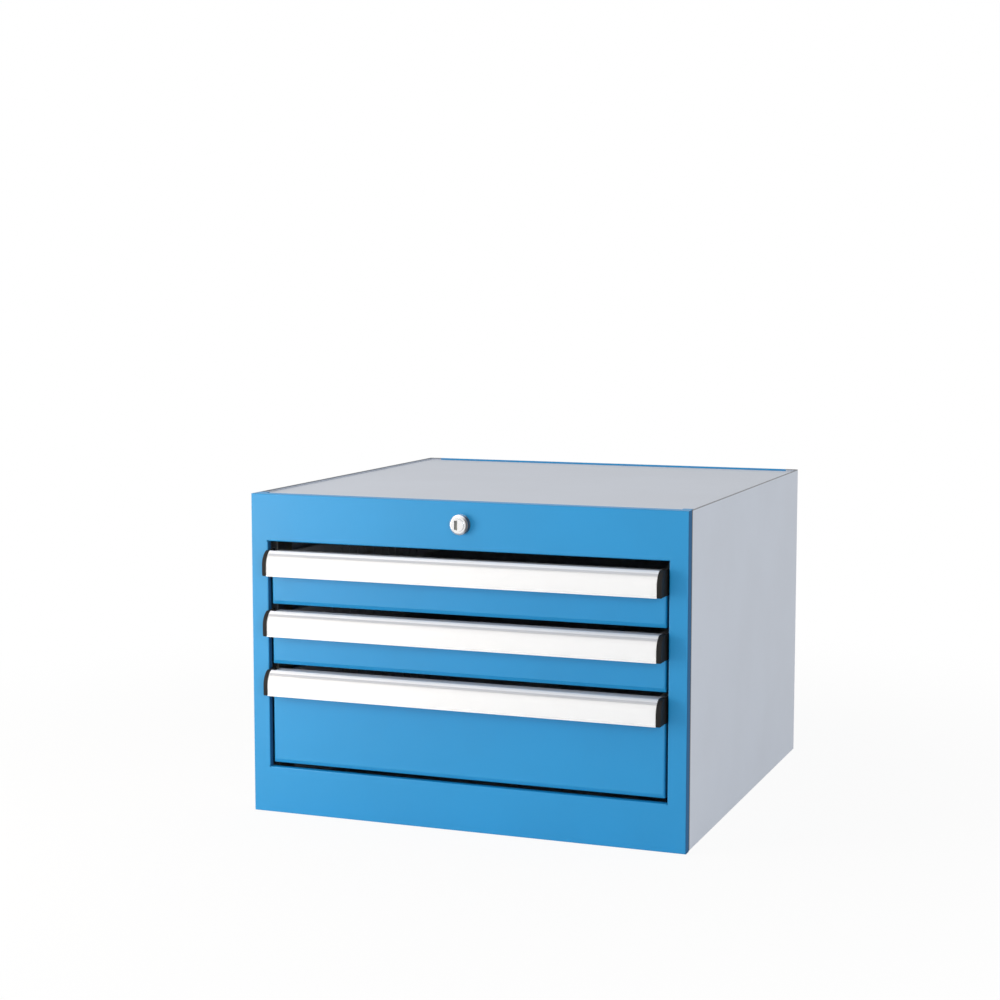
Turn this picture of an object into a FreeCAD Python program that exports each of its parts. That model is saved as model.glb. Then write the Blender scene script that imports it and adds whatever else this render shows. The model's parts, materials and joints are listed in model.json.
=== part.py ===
"""Multi-drawer cabinet of folded sheet steel with three full-extension drawers and a key lock.

Millimetres. X runs to the right, Y from front to back, Z up. The origin is the middle of the base,
on the surface that the cabinet stands on.
"""
import FreeCAD, Part
import Sketcher
import os
import re

doc = FreeCAD.newDocument("DrawerCabinet")

# Driving dimensions
SIZES = {
    # Outer body
    "width": 560,
    "depth": 570,
    "wall": 1.2,
    "bend_radius": 1.6,
    # Front frame, measured on its face
    "post_width": 22.7,
    "fascia_height": 58.3,
    "plinth_height": 57.7,
    "side_return": 13,
    "edge_return": 16,
    "opening_return": 8,
    "corner_width": 13,
    "corner_depth": 25,
    # Side, top, back and bottom panels
    "seam": 0.3,
    "top_gap": 0.8,
    "rim": 2.5,
    "top_flange": 10,
    "rear_return": 17,
    "base_return": 15,
    "lap": 12,
    # Uprights that carry the slides
    "upright_width": 40,
    "front_upright_start": 0.6,
    "rear_upright_inset": 85,
    "face_inset": 0.8,
    # Drawer fronts
    "front_gap": 3.8,
    "front_inset": 2.6,
    "bottom_gap": 5.5,
    "head_gap": 10,
    "low_pitch": 75,
    "tall_pitch": 125,
    "low_gap": 6.5,
    "tall_gap": 5.5,
    "front_wall": 1.2,
    "front_bend": 3,
    "front_depth": 18,
    "front_lip": 14,
    "bevel_drop": 4.6,
    "bevel_depth": 2.2,
    # Drawer trays
    "tray_wall": 1.0,
    "tray_back_gap": 43,
    "tray_lift": 5,
    "tray_headroom": 17,
    "tray_hem": 8,
    "rear_wall_drop": 5,
    "slot_width": 3,
    "slot_bottom": 8,
    "slot_top_gap": 14,
    "slot_pitch": 25,
    "slot_margin": 32,
    # Handles
    "handle_height": 30.8,
    "handle_reach": 22,
    "cap_overhang": 1.2,
    "handle_wall": 2.2,
    "hood_radius": 19,
    "hood_drop": 17.3,
    "lip_rise": 2.3,
    "leg_overlap": 13,
    "flange_wall": 1.8,
    "flange_height": 20,
    "cap_width": 5.7,
    "cap_tail": 10,
    "cap_side_gap": 0.25,
    "label_top": 4.4,
    "label_lip": 1.5,
    "label_recess": 1.2,
    "label_sheet": 0.35,
    "cover_sheet": 0.7,
    "label_play": 0.05,
    "label_slit": 1,
    # Telescopic slides
    "slide_start_gap": 2.4,
    "slide_end_gap": 1.6,
    "slide_thickness": 12.7,
    "rail_height": 45,
    "slide_lift": 5,
    "rail_sheet": 1.2,
    "outer_flange": 10.5,
    "middle_web": 2.6,
    "middle_edge": 12.1,
    "ball_play": 0.3,
    "outer_ball": 3.6,
    "outer_ball_depth": 7.5,
    "inner_ball": 3.4,
    "inner_edge": 5.5,
    "cage_sheet": 0.7,
    "cage_gap": 0.4,
    "cage_length": 110,
    "cage_start": 172,
    "ball_count": 4,
    "inner_ball_depth": 2.6,
    "middle_short": 20,
    "inner_short": 10,
    "bumper_depth": 4,
    "bumper_height": 26,
    # Lock
    "lock_drop": 27,
    "flange_diameter": 25,
    "lock_flange": 2,
    "drum_diameter": 24.4,
    "drum_length": 7,
    "barrel_diameter": 19,
    "barrel_length": 26,
    "plug_diameter": 15,
    "plug_play": 0.05,
    "plug_rise": 2,
    "key_slot_width": 4,
    "key_slot_height": 11.5,
    "key_slot_offset": 2,
    "key_slot_depth": 6,
    "drum_chamfer": 2.5,
    "flange_chamfer": 0.5,
    "nut_width": 24,
    "nut_thickness": 5,
    "thread_play": 0.05,
    "shaft_diameter": 8,
    "shaft_play": 0.05,
    "bracket_width": 30,
    "bracket_foot": 18,
    "bracket_drop": 12,
    # Locking bar and catches
    "crank_throw": 8,
    "crank_thickness": 4,
    "crank_collar": 18,
    "pin_diameter": 6,
    "pin_play": 0.5,
    "bar_width": 30,
    "bar_thickness": 3,
    "bar_gap": 2,
    "bar_foot": 12,
    "bar_play": 0.4,
    "bar_lift": 11.3,
    "guide_wall": 4,
    "guide_height": 22,
    "guide_rise": 66.8,
    "hook_width": 12,
    "hook_wall": 3,
    "hook_rise": 12,
    "hook_gap": 1.5,
    "hook_slack": 0.7,
    "catch_wall": 1.5,
    "catch_width": 36,
    "catch_height": 40,
    "catch_clear": 4.5,
    "catch_lip": 11.2,
    # Fasteners
    "screw_head": 8,
    "rail_screw": 4.8,
    "rail_screw_length": 8,
    "panel_screw": 4,
    "panel_screw_length": 3.6,
    "guide_screw_length": 5,
    "rivet_diameter": 4,
    "rivet_head": 7,
    "rivet_head_depth": 0.8,
    "rivet_margin": 40,
    "panel_screw_margin": 32,
    "base_screw_margin": 80,
    "handle_screw_inset": 40,
    "handle_screw_middle": 75,
    "front_screw_inset": 30,
    "guide_screw_spread": 24,
    "catch_rivet_spread": 20,
    "hole_play": 0.1,
    "flush": 0.05,
}

# Places that follow from the driving dimensions
PLACES = {
    "half_width": "width / 2",
    "front": "-depth / 2",
    "rear": "depth / 2",
    "side_inner": "half_width - wall",
    "drawer_3_base": "plinth_height + bottom_gap",
    "drawer_2_base": "drawer_3_base + tall_pitch",
    "drawer_1_base": "drawer_2_base + low_pitch",
    "low_front": "low_pitch - low_gap",
    "tall_front": "tall_pitch - tall_gap",
    "low_tray": "low_pitch - tray_headroom",
    "tall_tray": "tall_pitch - tray_headroom",
    "opening_top": "drawer_1_base + low_front + head_gap",
    "height": "opening_top + fascia_height",
    "top_face": "height - rim",
    "top_under": "top_face - wall",
    "opening_half": "half_width - post_width",
    "lap_face": "2 * wall",
    "rear_inner": "rear - 2 * wall",
    "upright_top": "top_under - top_flange - seam",
    "mount_face": "opening_half - face_inset",
    "front_half": "opening_half - front_gap",
    "panel_face": "front + front_inset",
    "panel_back": "panel_face + front_depth",
    "panel_wall_back": "panel_face + front_wall",
    "tray_end": "rear_inner - tray_back_gap",
    "tray_length": "tray_end - panel_back",
    "slide_start": "panel_back + slide_start_gap",
    "slide_end": "tray_end - slide_end_gap",
    "upright_start": "slide_start + front_upright_start",
    "rear_upright_start": "rear - rear_upright_inset - upright_width / 2",
    "tray_half": "mount_face - slide_thickness",
    "hood_face": "front - handle_reach",
    "hood_axis": "hood_face + hood_radius",
    "hood_tip": "hood_axis - sqrt(hood_radius ^ 2 - hood_drop ^ 2)",
    "leg_start": "hood_axis - sqrt(hood_radius ^ 2 - (hood_drop - lip_rise) ^ 2)",
    "handle_half": "front_half + cap_overhang",
    "cap_inner": "handle_half - cap_width",
    "rail_middle": "tray_lift + slide_lift + rail_height / 2",
    "rail_half": "rail_height / 2",
    "middle_half": "rail_half - rail_sheet - outer_ball - 2 * ball_play",
    "inner_half": "middle_half - rail_sheet - inner_ball - 2 * ball_play",
    "lock_level": "height - lock_drop",
    "crank_back": "rear_inner - guide_wall - bar_play - bar_thickness - bar_gap",
    "crank_front": "crank_back - crank_thickness",
    "bar_front": "crank_back + bar_gap",
    "bar_back": "bar_front + bar_thickness",
    "pin_offset": "crank_throw * sqrt(0.5)",
    "catch_lip_front": "tray_end + catch_wall + catch_clear + hook_wall + hook_slack",
}

sizes = doc.addObject("Spreadsheet::Sheet", "Sizes")
for row, (name, value) in enumerate(SIZES.items(), start=1):
    sizes.set(f"A{row}", name)
    sizes.set(f"B{row}", str(value))
    sizes.setAlias(f"B{row}", name)
doc.recompute()


def bound(text):
    """Write a short expression out in full, with the sheet or the place that each name lives in."""
    def full(match):
        name = match.group(0)
        if name in SIZES:
            return "Sizes." + name
        return "Places." + name if name in PLACES else name
    return re.sub(r"[a-z][a-z_0-9]*", full, str(text))


places = doc.addObject("App::VarSet", "Places")
for name, text in PLACES.items():
    places.addProperty("App::PropertyFloat", name)
    places.setExpression(name, bound(text))
doc.recompute()


def value(text):
    """The present value of an expression, for a sketch's first drawing and for counts."""
    return float(places.evalExpression(bound(text)))


# Solids that are bound to the sheet
def block(x, y, z):
    """A box between a low and a high expression on each axis."""
    solid = doc.addObject("Part::Box", "Block")
    for side, axis, (low, high) in (("Length", "x", x), ("Width", "y", y), ("Height", "z", z)):
        solid.setExpression(side, bound(f"({high}) - ({low})"))
        solid.setExpression(f"Placement.Base.{axis}", bound(low))
    return solid


TURNS = {
    "x": FreeCAD.Rotation(FreeCAD.Vector(0, 1, 0), 90),
    "y": FreeCAD.Rotation(FreeCAD.Vector(1, 0, 0), -90),
    "z": FreeCAD.Rotation(),
}


def rod(axis, start, length, diameter):
    """A cylinder along an axis from its start point, with expressions for all of its sizes."""
    solid = doc.addObject("Part::Cylinder", "Rod")
    solid.setExpression("Radius", bound(f"({diameter}) / 2"))
    solid.setExpression("Height", bound(length))
    solid.Placement = FreeCAD.Placement(FreeCAD.Vector(), TURNS[axis])
    for name, place in zip("xyz", start):
        solid.setExpression(f"Placement.Base.{name}", bound(place))
    return solid


def ball(centre, diameter):
    """A sphere about a centre point."""
    solid = doc.addObject("Part::Sphere", "Ball")
    solid.setExpression("Radius", bound(f"({diameter}) / 2"))
    for name, place in zip("xyz", centre):
        solid.setExpression(f"Placement.Base.{name}", bound(place))
    return solid


def fuse(*solids):
    """One solid from solids that touch or overlap."""
    if len(solids) == 1:
        return solids[0]
    joined = doc.addObject("Part::MultiFuse", "Fuse")
    joined.Shapes = list(solids)
    joined.Refine = True
    return joined


def cut(base, *tools):
    """The base without the tools."""
    result = doc.addObject("Part::Cut", "Cut")
    result.Base = base
    result.Tool = fuse(*tools)
    result.Refine = True
    return result


def common(first, second):
    """What two solids share."""
    result = doc.addObject("Part::Common", "Common")
    result.Base = first
    result.Tool = second
    return result


def countersink(axis, point, inward, shank, sheet="wall", play="0"):
    """A countersunk head, or with a play its seat, from a point on a sheet's face inward."""
    index = "xyz".index(axis)
    start = list(point)
    diameters = [f"screw_head + 2 * {play}", f"{shank} + 2 * {play}"]
    if inward == "-":
        start[index] = f"{point[index]} - {sheet}"
        diameters.reverse()
    solid = doc.addObject("Part::Cone", "Countersink")
    for name, diameter in zip(("Radius1", "Radius2"), diameters):
        solid.setExpression(name, bound(f"({diameter}) / 2"))
    solid.setExpression("Height", bound(sheet))
    solid.Placement = FreeCAD.Placement(FreeCAD.Vector(), TURNS[axis])
    for name, place in zip("xyz", start):
        solid.setExpression(f"Placement.Base.{name}", bound(place))
    return solid


def screw(axis, point, inward, shank, length, sheet="wall"):
    """A countersunk screw whose head ends flush with the sheet's face."""
    start = list(point)
    if inward == "-":
        start["xyz".index(axis)] += f" - {length}"
    return fuse(countersink(axis, point, inward, shank, sheet), rod(axis, start, length, shank))


def spread(low, high, count):
    """Places from low to high at even steps."""
    return [f"{low} + ({high} - ({low})) * {step} / {count - 1}" for step in range(count)]


def group(*solids):
    """Several separate solids as one sub-part."""
    result = doc.addObject("Part::Compound", "Group")
    result.Links = list(solids)
    return result


def mirrored(solid):
    """The same solid on the other side of the cabinet's middle plane."""
    result = doc.addObject("Part::Mirroring", "Mirror")
    result.Source = solid
    result.Normal = FreeCAD.Vector(1, 0, 0)
    return result


def both_sides(solid):
    """A right-hand solid with its left-hand twin."""
    return group(solid, mirrored(solid))


def rounding(axis, start, length, corner, inward, radius="bend_radius"):
    """What a bend's radius takes off a square edge along an axis.

    corner holds the edge's places on the two other axes, and inward the signs that point from the
    edge into the solid.
    """
    spans = {axis: (f"{start} - wall", f"{start} + ({length}) + wall")}
    centre = {axis: f"{start} - 2 * wall"}
    for name, place, sign in zip([a for a in "xyz" if a != axis], corner, inward):
        centre[name] = f"{place} {sign} {radius}"
        outside = f"{place} {'-' if sign == '+' else '+'} wall"
        spans[name] = (outside, centre[name]) if sign == "+" else (centre[name], outside)
    core = rod(axis, [centre[a] for a in "xyz"], f"({length}) + 4 * wall", f"2 * {radius}")
    return cut(block(spans["x"], spans["y"], spans["z"]), core)


SUB_PARTS = []


def keep(solid, label, lift="0"):
    """Name a sub-part and raise it to its level."""
    solid.Label = label
    solid.setExpression("Placement.Base.z", bound(lift))
    SUB_PARTS.append(solid)
    return solid


# Sketched bodies
def new_body(name):
    """An empty body."""
    return doc.addObject("PartDesign::Body", name)


def origin_feature(body, role):
    """The origin plane or axis of a body with the given role."""
    return [f for f in body.Origin.OriginFeatures if f.Role == role][0]


def outline(body, role, points, offset="0"):
    """A closed sketch on an origin plane whose corners are bound to expressions."""
    sketch = body.newObject("Sketcher::SketchObject", "Outline")
    sketch.AttachmentSupport = [(origin_feature(body, role), "")]
    sketch.MapMode = "FlatFace"
    sketch.setExpression("AttachmentOffset.Base.z", bound(offset))
    corners = [FreeCAD.Vector(value(a), value(b), 0) for a, b in points]
    count = len(corners)
    for i, corner in enumerate(corners):
        sketch.addGeometry(Part.LineSegment(corner, corners[(i + 1) % count]), False)
    for i in range(count):
        sketch.addConstraint(Sketcher.Constraint("Coincident", i, 2, (i + 1) % count, 1))
    for i, (corner, texts) in enumerate(zip(corners, points)):
        for kind, text, now in zip(("DistanceX", "DistanceY"), texts, (corner.x, corner.y)):
            index = sketch.addConstraint(Sketcher.Constraint(kind, -1, 1, i, 1, now))
            sketch.setExpression(f"Constraints[{index}]", bound(text))
    return sketch


def pad(body, sketch, length, side="One side", reverse=False):
    """Grow the body by a sketch's area along its normal."""
    feature = body.newObject("PartDesign::Pad", "Pad")
    feature.Profile = sketch
    feature.SideType = side
    feature.Reversed = reverse
    feature.setExpression("Length", bound(length))
    return feature


def pocket(body, sketch, length, side="Symmetric", reverse=False):
    """Cut the body along a sketch's normal, and make sure that something went away."""
    doc.recompute()
    before = body.Shape.Volume
    feature = body.newObject("PartDesign::Pocket", "Pocket")
    feature.Profile = sketch
    feature.SideType = side
    feature.Reversed = reverse
    feature.setExpression("Length", bound(length))
    doc.recompute()
    if body.Shape.Volume >= before:
        raise RuntimeError(f"{body.Name}: a pocket cuts nothing")
    return feature


def row_of(body, feature, axis, pitch, count):
    """Repeat a feature along an axis of the body."""
    pattern = body.newObject("PartDesign::LinearPattern", "Row")
    pattern.Originals = [feature]
    pattern.Direction = (origin_feature(body, axis), [""])
    pattern.Mode = "Spacing"
    pattern.setExpression("Offset", bound(pitch))
    pattern.setExpression("Occurrences", bound(count))
    body.Tip = pattern
    return pattern


# Housing panels
BACK_SCREW_X = "half_width - rear_return + lap / 2"
BACK_SCREW_LEVELS = spread("panel_screw_margin", "height - panel_screw_margin", 4)
BASE_SCREW_X = "half_width - base_return + lap / 2"
BASE_SCREW_PLACES = spread("front + base_screw_margin", "rear - base_screw_margin", 3)
PANEL_HOLE = "panel_screw + 2 * hole_play"
RIVET_HOLE = "rivet_diameter + 2 * hole_play"


def side_panel():
    """Right side panel: outer skin, folded returns at the rear and base, tongue behind the frame."""
    skin = block(("side_inner", "half_width"), ("front + side_return + seam", "rear"), ("0", "height"))
    back = block(("half_width - rear_return", "half_width"), ("rear - wall", "rear"), ("0", "height"))
    base = block(("half_width - base_return", "half_width"),
                 ("front + edge_return + seam", "rear"), ("0", "wall"))
    tongue = block(("side_inner - wall", "side_inner"),
                   ("front + 2 * wall", "front + side_return + seam + lap / 2"),
                   ("lap_face + seam", "upright_top"))
    seats = [countersink("y", (BACK_SCREW_X, "rear", level), "-", "panel_screw", play="hole_play")
             for level in BACK_SCREW_LEVELS]
    seats += [countersink("z", (BASE_SCREW_X, place, "0"), "+", "panel_screw", play="hole_play")
              for place in BASE_SCREW_PLACES]
    bends = [rounding("z", "0", "height", ("half_width", "rear"), "--"),
             rounding("y", "front", "depth", ("half_width", "0"), "-+")]
    return cut(fuse(skin, back, base, tongue), *seats, *bends)


right_side = side_panel()
keep(right_side, "right_side_panel")
keep(mirrored(right_side), "left_side_panel")


def top_panel():
    """Recessed top: a plate with its four edges turned down."""
    half = "(side_inner - top_gap)"
    plate = block((f"-{half}", half), ("front + wall", "rear - wall"), ("top_under", "top_face"))
    side = block((f"{half} - wall", half), ("front + wall", "rear - wall"),
                 ("top_under - top_flange", "top_face"))
    near = block((f"-{half}", half), ("front + wall", "front + 2 * wall"),
                 ("top_under - top_flange", "top_face"))
    far = block((f"-{half}", half), ("rear - 2 * wall", "rear - wall"),
                ("top_under - top_flange", "top_face"))
    return fuse(plate, side, mirrored(side), near, far)


keep(top_panel(), "top_panel")


def bottom_panel():
    """Base plate, flush with the turned-in base edges, with lap strips on top of them."""
    half = "half_width - base_return - seam"
    near = "front + edge_return + seam"
    far = "rear - wall - seam"
    plate = block((f"-({half})", half), (near, far), ("0", "wall"))
    side = block((f"{half} - lap / 2", f"{half} + lap"), (near, far), ("wall", "lap_face"))
    front_lap = block((f"-({half})", half), ("front + 3 * wall", f"{near} + lap / 2"),
                      ("wall", "lap_face"))
    holes = [rod("z", (BASE_SCREW_X, place, "wall - flush"), "wall + 2 * flush", PANEL_HOLE)
             for place in BASE_SCREW_PLACES]
    solid = fuse(plate, side, mirrored(side), front_lap)
    return cut(solid, *holes, *[mirrored(hole) for hole in holes])


keep(bottom_panel(), "bottom_panel")


GUIDE_SCREW_X = "guide_screw_spread / 2"
GUIDE_LEVELS = ("drawer_3_base + guide_rise", "drawer_1_base + guide_rise")


def back_panel():
    """Back plate between the side panels' returns, with lap strips behind them."""
    half = "half_width - rear_return - seam"
    low = "lap_face + seam"
    plate = block((f"-({half})", half), ("rear - wall", "rear"), ("0", "height"))
    strip = block((f"{half} - lap / 2", f"{half} + lap"), ("rear_inner", "rear - wall"),
                  (low, "top_under - top_flange - seam"))
    holes = [rod("y", (BACK_SCREW_X, "rear_inner - flush", level), "wall + 2 * flush", PANEL_HOLE)
             for level in BACK_SCREW_LEVELS]
    holes += [countersink("y", (GUIDE_SCREW_X, "rear", f"{level} + guide_height / 2"), "-",
                          "panel_screw", play="hole_play") for level in GUIDE_LEVELS]
    solid = fuse(plate, strip, mirrored(strip))
    return cut(solid, *holes, *[mirrored(hole) for hole in holes])


keep(back_panel(), "back_panel")


def front_frame():
    """Face sheet with the drawer opening, its outer edges turned back and its opening hemmed."""
    face = cut(block(("-half_width", "half_width"), ("front", "front + wall"), ("0", "height")),
               block(("-opening_half", "opening_half"), ("front - wall", "front + 2 * wall"),
                     ("plinth_height", "opening_top")))
    side = block(("side_inner", "half_width"), ("front", "front + side_return"), ("0", "height"))
    edges = []
    for levels in (("height - wall", "height"), ("0", "wall")):
        edges.append(block(("-half_width", "half_width"), ("front", "front + side_return"), levels))
        edges.append(block(("seam - side_inner", "side_inner - seam"),
                           ("front", "front + edge_return"), levels))
    corner = block(("half_width - corner_width", "half_width - wall - seam"),
                   ("front", "front + corner_depth"), ("height - wall", "height"))
    jamb = block(("opening_half", "opening_half + wall"), ("front", "front + opening_return"),
                 ("plinth_height - wall", "opening_top + wall"))
    head = block(("-opening_half - wall", "opening_half + wall"), ("front", "front + opening_return"),
                 ("opening_top", "opening_top + wall"))
    sill = block(("-opening_half - wall", "opening_half + wall"), ("front", "front + opening_return"),
                 ("plinth_height - wall", "plinth_height"))
    lock_hole = rod("y", ("0", "front - wall", "lock_level"), "3 * wall",
                    "barrel_diameter + 2 * hole_play")
    post_bend = rounding("z", "0", "height", ("half_width", "front"), "-+")
    jamb_bend = rounding("z", "plinth_height", "opening_top - plinth_height",
                         ("opening_half", "front"), "++")
    bends = [post_bend, mirrored(post_bend), jamb_bend, mirrored(jamb_bend)]
    for level, inward in (("height", "+-"), ("0", "++")):
        bends.append(rounding("x", "-half_width", "width", ("front", level), inward))
    for level, inward in (("opening_top", "++"), ("plinth_height", "+-")):
        bends.append(rounding("x", "-opening_half", "2 * opening_half", ("front", level), inward))
    solid = fuse(face, side, mirrored(side), *edges, corner, mirrored(corner),
                 jamb, mirrored(jamb), head, sill)
    return cut(solid, lock_hole, *bends)


keep(front_frame(), "front_frame")


# Slide rails and what carries them
DRAWERS = (
    ("drawer_1", "drawer_1_base", "low_front", "low_tray"),
    ("drawer_2", "drawer_2_base", "low_front", "low_tray"),
    ("drawer_3", "drawer_3_base", "tall_front", "tall_tray"),
)
RAIL_SCREW_PLACES = ("upright_start + upright_width / 2", "rear_upright_start + upright_width / 2")


def upright(start):
    """A channel between the side panel and the slides, open towards the side panel."""
    end = f"{start} + upright_width"
    face = block(("mount_face", "mount_face + wall"), (start, end), ("lap_face", "upright_top"))
    near = block(("mount_face", "side_inner"), (start, f"{start} + wall"), ("lap_face", "upright_top"))
    far = block(("mount_face", "side_inner"), (f"{end} - wall", end), ("lap_face", "upright_top"))
    holes = [rod("x", ("mount_face - flush", f"{start} + upright_width / 2", f"{base} + rail_middle"),
                 "wall + 2 * flush", "rail_screw + 2 * hole_play") for _, base, _, _ in DRAWERS]
    return cut(fuse(face, near, far), *holes)


keep(both_sides(upright("upright_start")), "front_uprights")
keep(both_sides(upright("rear_upright_start")), "rear_uprights")


def channel(x, half, sheet, y, web_low):
    """A rail of C section about its own middle level, with its web at the low or the high X side."""
    low, high = x
    web = (low, f"{low} + {sheet}") if web_low else (f"{high} - {sheet}", high)
    return fuse(block(web, y, (f"-({half})", half)),
                block(x, y, (f"{half} - {sheet}", half)),
                block(x, y, (f"-({half})", f"-({half}) + {sheet}")))


def outer_rail():
    """The rail that is screwed to the uprights, with countersunk seats for its screws."""
    rail = channel(("mount_face - outer_flange", "mount_face"), "rail_half", "rail_sheet",
                   ("slide_start", "slide_end"), web_low=False)
    seats = [countersink("x", ("mount_face - rail_sheet", place, "0"), "+", "rail_screw",
                         "rail_sheet", "hole_play") for place in RAIL_SCREW_PLACES]
    return cut(rail, *seats)


def middle_rail():
    """The rail that runs inside the outer one and carries the inner one."""
    return channel(("mount_face - middle_edge", "mount_face - middle_web"), "middle_half",
                   "rail_sheet", ("slide_start", "slide_end - middle_short"), web_low=False)


RIVET_PLACES = spread("slide_start + rivet_margin", "slide_end - inner_short - rivet_margin", 3)


def inner_rail():
    """The rail that is riveted to the tray's side."""
    rail = channel(("tray_half", "mount_face - inner_edge"), "inner_half", "rail_sheet",
                   ("slide_start", "slide_end - inner_short"), web_low=True)
    holes = [rod("x", ("tray_half - flush", place, "0"), "rail_sheet + 2 * flush", RIVET_HOLE)
             for place in RIVET_PLACES]
    return cut(rail, *holes)


def ball_cage(web_x, edge_x, ball_x, half, diameter):
    """A cage strip of C section with its balls lying loose in its holes."""
    start = "slide_start + cage_start"
    length = (start, f"{start} + cage_length")
    strip = channel((edge_x, web_x), f"{half} + cage_sheet / 2", "cage_sheet", length, web_low=False)
    balls = []
    holes = []
    for step in range(SIZES["ball_count"]):
        place = f"{start} + cage_length * ({step} + 0.5) / ball_count"
        for level in (half, f"-({half})"):
            balls.append(ball((ball_x, place, level), diameter))
            holes.append(rod("z", (ball_x, place, f"{level} - cage_sheet"), "2 * cage_sheet",
                             f"{diameter} + 2 * hole_play"))
    return group(cut(strip, *holes), *balls)


def outer_cage():
    """Balls between the outer and the middle rail."""
    web = "mount_face - rail_sheet - cage_gap"
    return ball_cage(web, "mount_face - outer_flange + cage_gap", "mount_face - outer_ball_depth",
                     "rail_half - rail_sheet - ball_play - outer_ball / 2", "outer_ball")


def inner_cage():
    """Balls between the middle and the inner rail."""
    web = "mount_face - middle_web - rail_sheet - cage_gap"
    return ball_cage(web, "tray_half + rail_sheet + cage_gap",
                     "tray_half + rail_sheet + inner_ball_depth",
                     "middle_half - rail_sheet - ball_play - inner_ball / 2", "inner_ball")


def rail_bumper():
    """A rubber block at the rear end of an outer rail, just behind the inner rail's end."""
    start = "slide_end - inner_short + ball_play"
    return block(("mount_face - outer_flange", "mount_face - rail_sheet"),
                 (start, f"{start} + bumper_depth"), ("-bumper_height / 2", "bumper_height / 2"))


rail_screws = []
rail_bumpers = []
for name, base, front_height, tray_height in DRAWERS:
    level = f"{base} + rail_middle"
    keep(both_sides(outer_rail()), f"{name}_outer_rails", level)
    keep(both_sides(middle_rail()), f"{name}_middle_rails", level)
    keep(both_sides(inner_rail()), f"{name}_inner_rails", level)
    keep(both_sides(outer_cage()), f"{name}_outer_cages", level)
    keep(both_sides(inner_cage()), f"{name}_inner_cages", level)
    bumpers = both_sides(rail_bumper())
    bumpers.setExpression("Placement.Base.z", bound(level))
    rail_bumpers.append(bumpers)
    rail_screws += [both_sides(screw("x", ("mount_face - rail_sheet", place, level), "+",
                                     "rail_screw", "rail_screw_length", "rail_sheet"))
                    for place in RAIL_SCREW_PLACES]
keep(group(*rail_screws), "rail_screws")
keep(group(*rail_bumpers), "rail_bumpers")


# Drawers, each about the level of its front's lower edge
HANDLE_SCREWS = ("handle_screw_middle", "cap_inner - handle_screw_inset")
FRONT_SCREWS = ("handle_screw_middle", "tray_half - front_screw_inset")
CATCH_RIVET_X = "catch_rivet_spread / 2"
CATCH_RIVET_LEVEL = "tray_lift + catch_height - catch_lip"


def handle_screw_level(height):
    """Level of the rivets through the handle's flange."""
    return f"({height}) - (flange_height + lip_rise) / 2"


def front_screw_levels(height, tray_height):
    """Levels of the rivets that join the front's lower and upper lip to the tray."""
    lower = "(tray_lift + tray_wall + front_lip) / 2"
    upper = (f"(({height}) - lip_rise - handle_wall - front_lip"
             f" + tray_lift + ({tray_height}) - tray_wall) / 2")
    return lower, upper


def front_panel(height, tray_height):
    """Drawer front: a shallow pan with turned-back edges, lips and a bevelled lower edge."""
    top = f"({height}) - lip_rise - handle_wall"
    body = new_body("FrontPanel")
    shell = outline(body, "YZ_Plane", [
        ("panel_face + bevel_depth", "0"), ("panel_back", "0"), ("panel_back", top),
        ("panel_face", top), ("panel_face", "bevel_drop")])
    pad(body, shell, "2 * front_half", side="Symmetric")
    inside = outline(body, "YZ_Plane", [
        ("panel_wall_back + bevel_depth", "front_wall"), ("panel_back - front_wall", "front_wall"),
        ("panel_back - front_wall", f"{top} - front_wall"),
        ("panel_wall_back", f"{top} - front_wall"), ("panel_wall_back", "bevel_drop + front_wall")])
    pocket(body, inside, "2 * (front_half - front_wall)")
    mouth = outline(body, "YZ_Plane", [
        ("panel_back - 2 * front_wall", "front_lip"), ("panel_back + front_wall", "front_lip"),
        ("panel_back + front_wall", f"{top} - front_lip"),
        ("panel_back - 2 * front_wall", f"{top} - front_lip")])
    pocket(body, mouth, "2 * (front_half - front_wall)")
    holes = [rod("y", (x, "panel_face - flush", handle_screw_level(height)),
                 "front_wall + 2 * flush", RIVET_HOLE) for x in HANDLE_SCREWS]
    holes += [rod("y", (x, "panel_back - front_wall - flush", level), "front_wall + 2 * flush",
                  RIVET_HOLE) for x in FRONT_SCREWS
              for level in front_screw_levels(height, tray_height)]
    side_bend = rounding("z", "0", top, ("front_half", "panel_face"), "-+", "front_bend")
    return cut(body, *holes, *[mirrored(hole) for hole in holes], side_bend, mirrored(side_bend))


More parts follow.
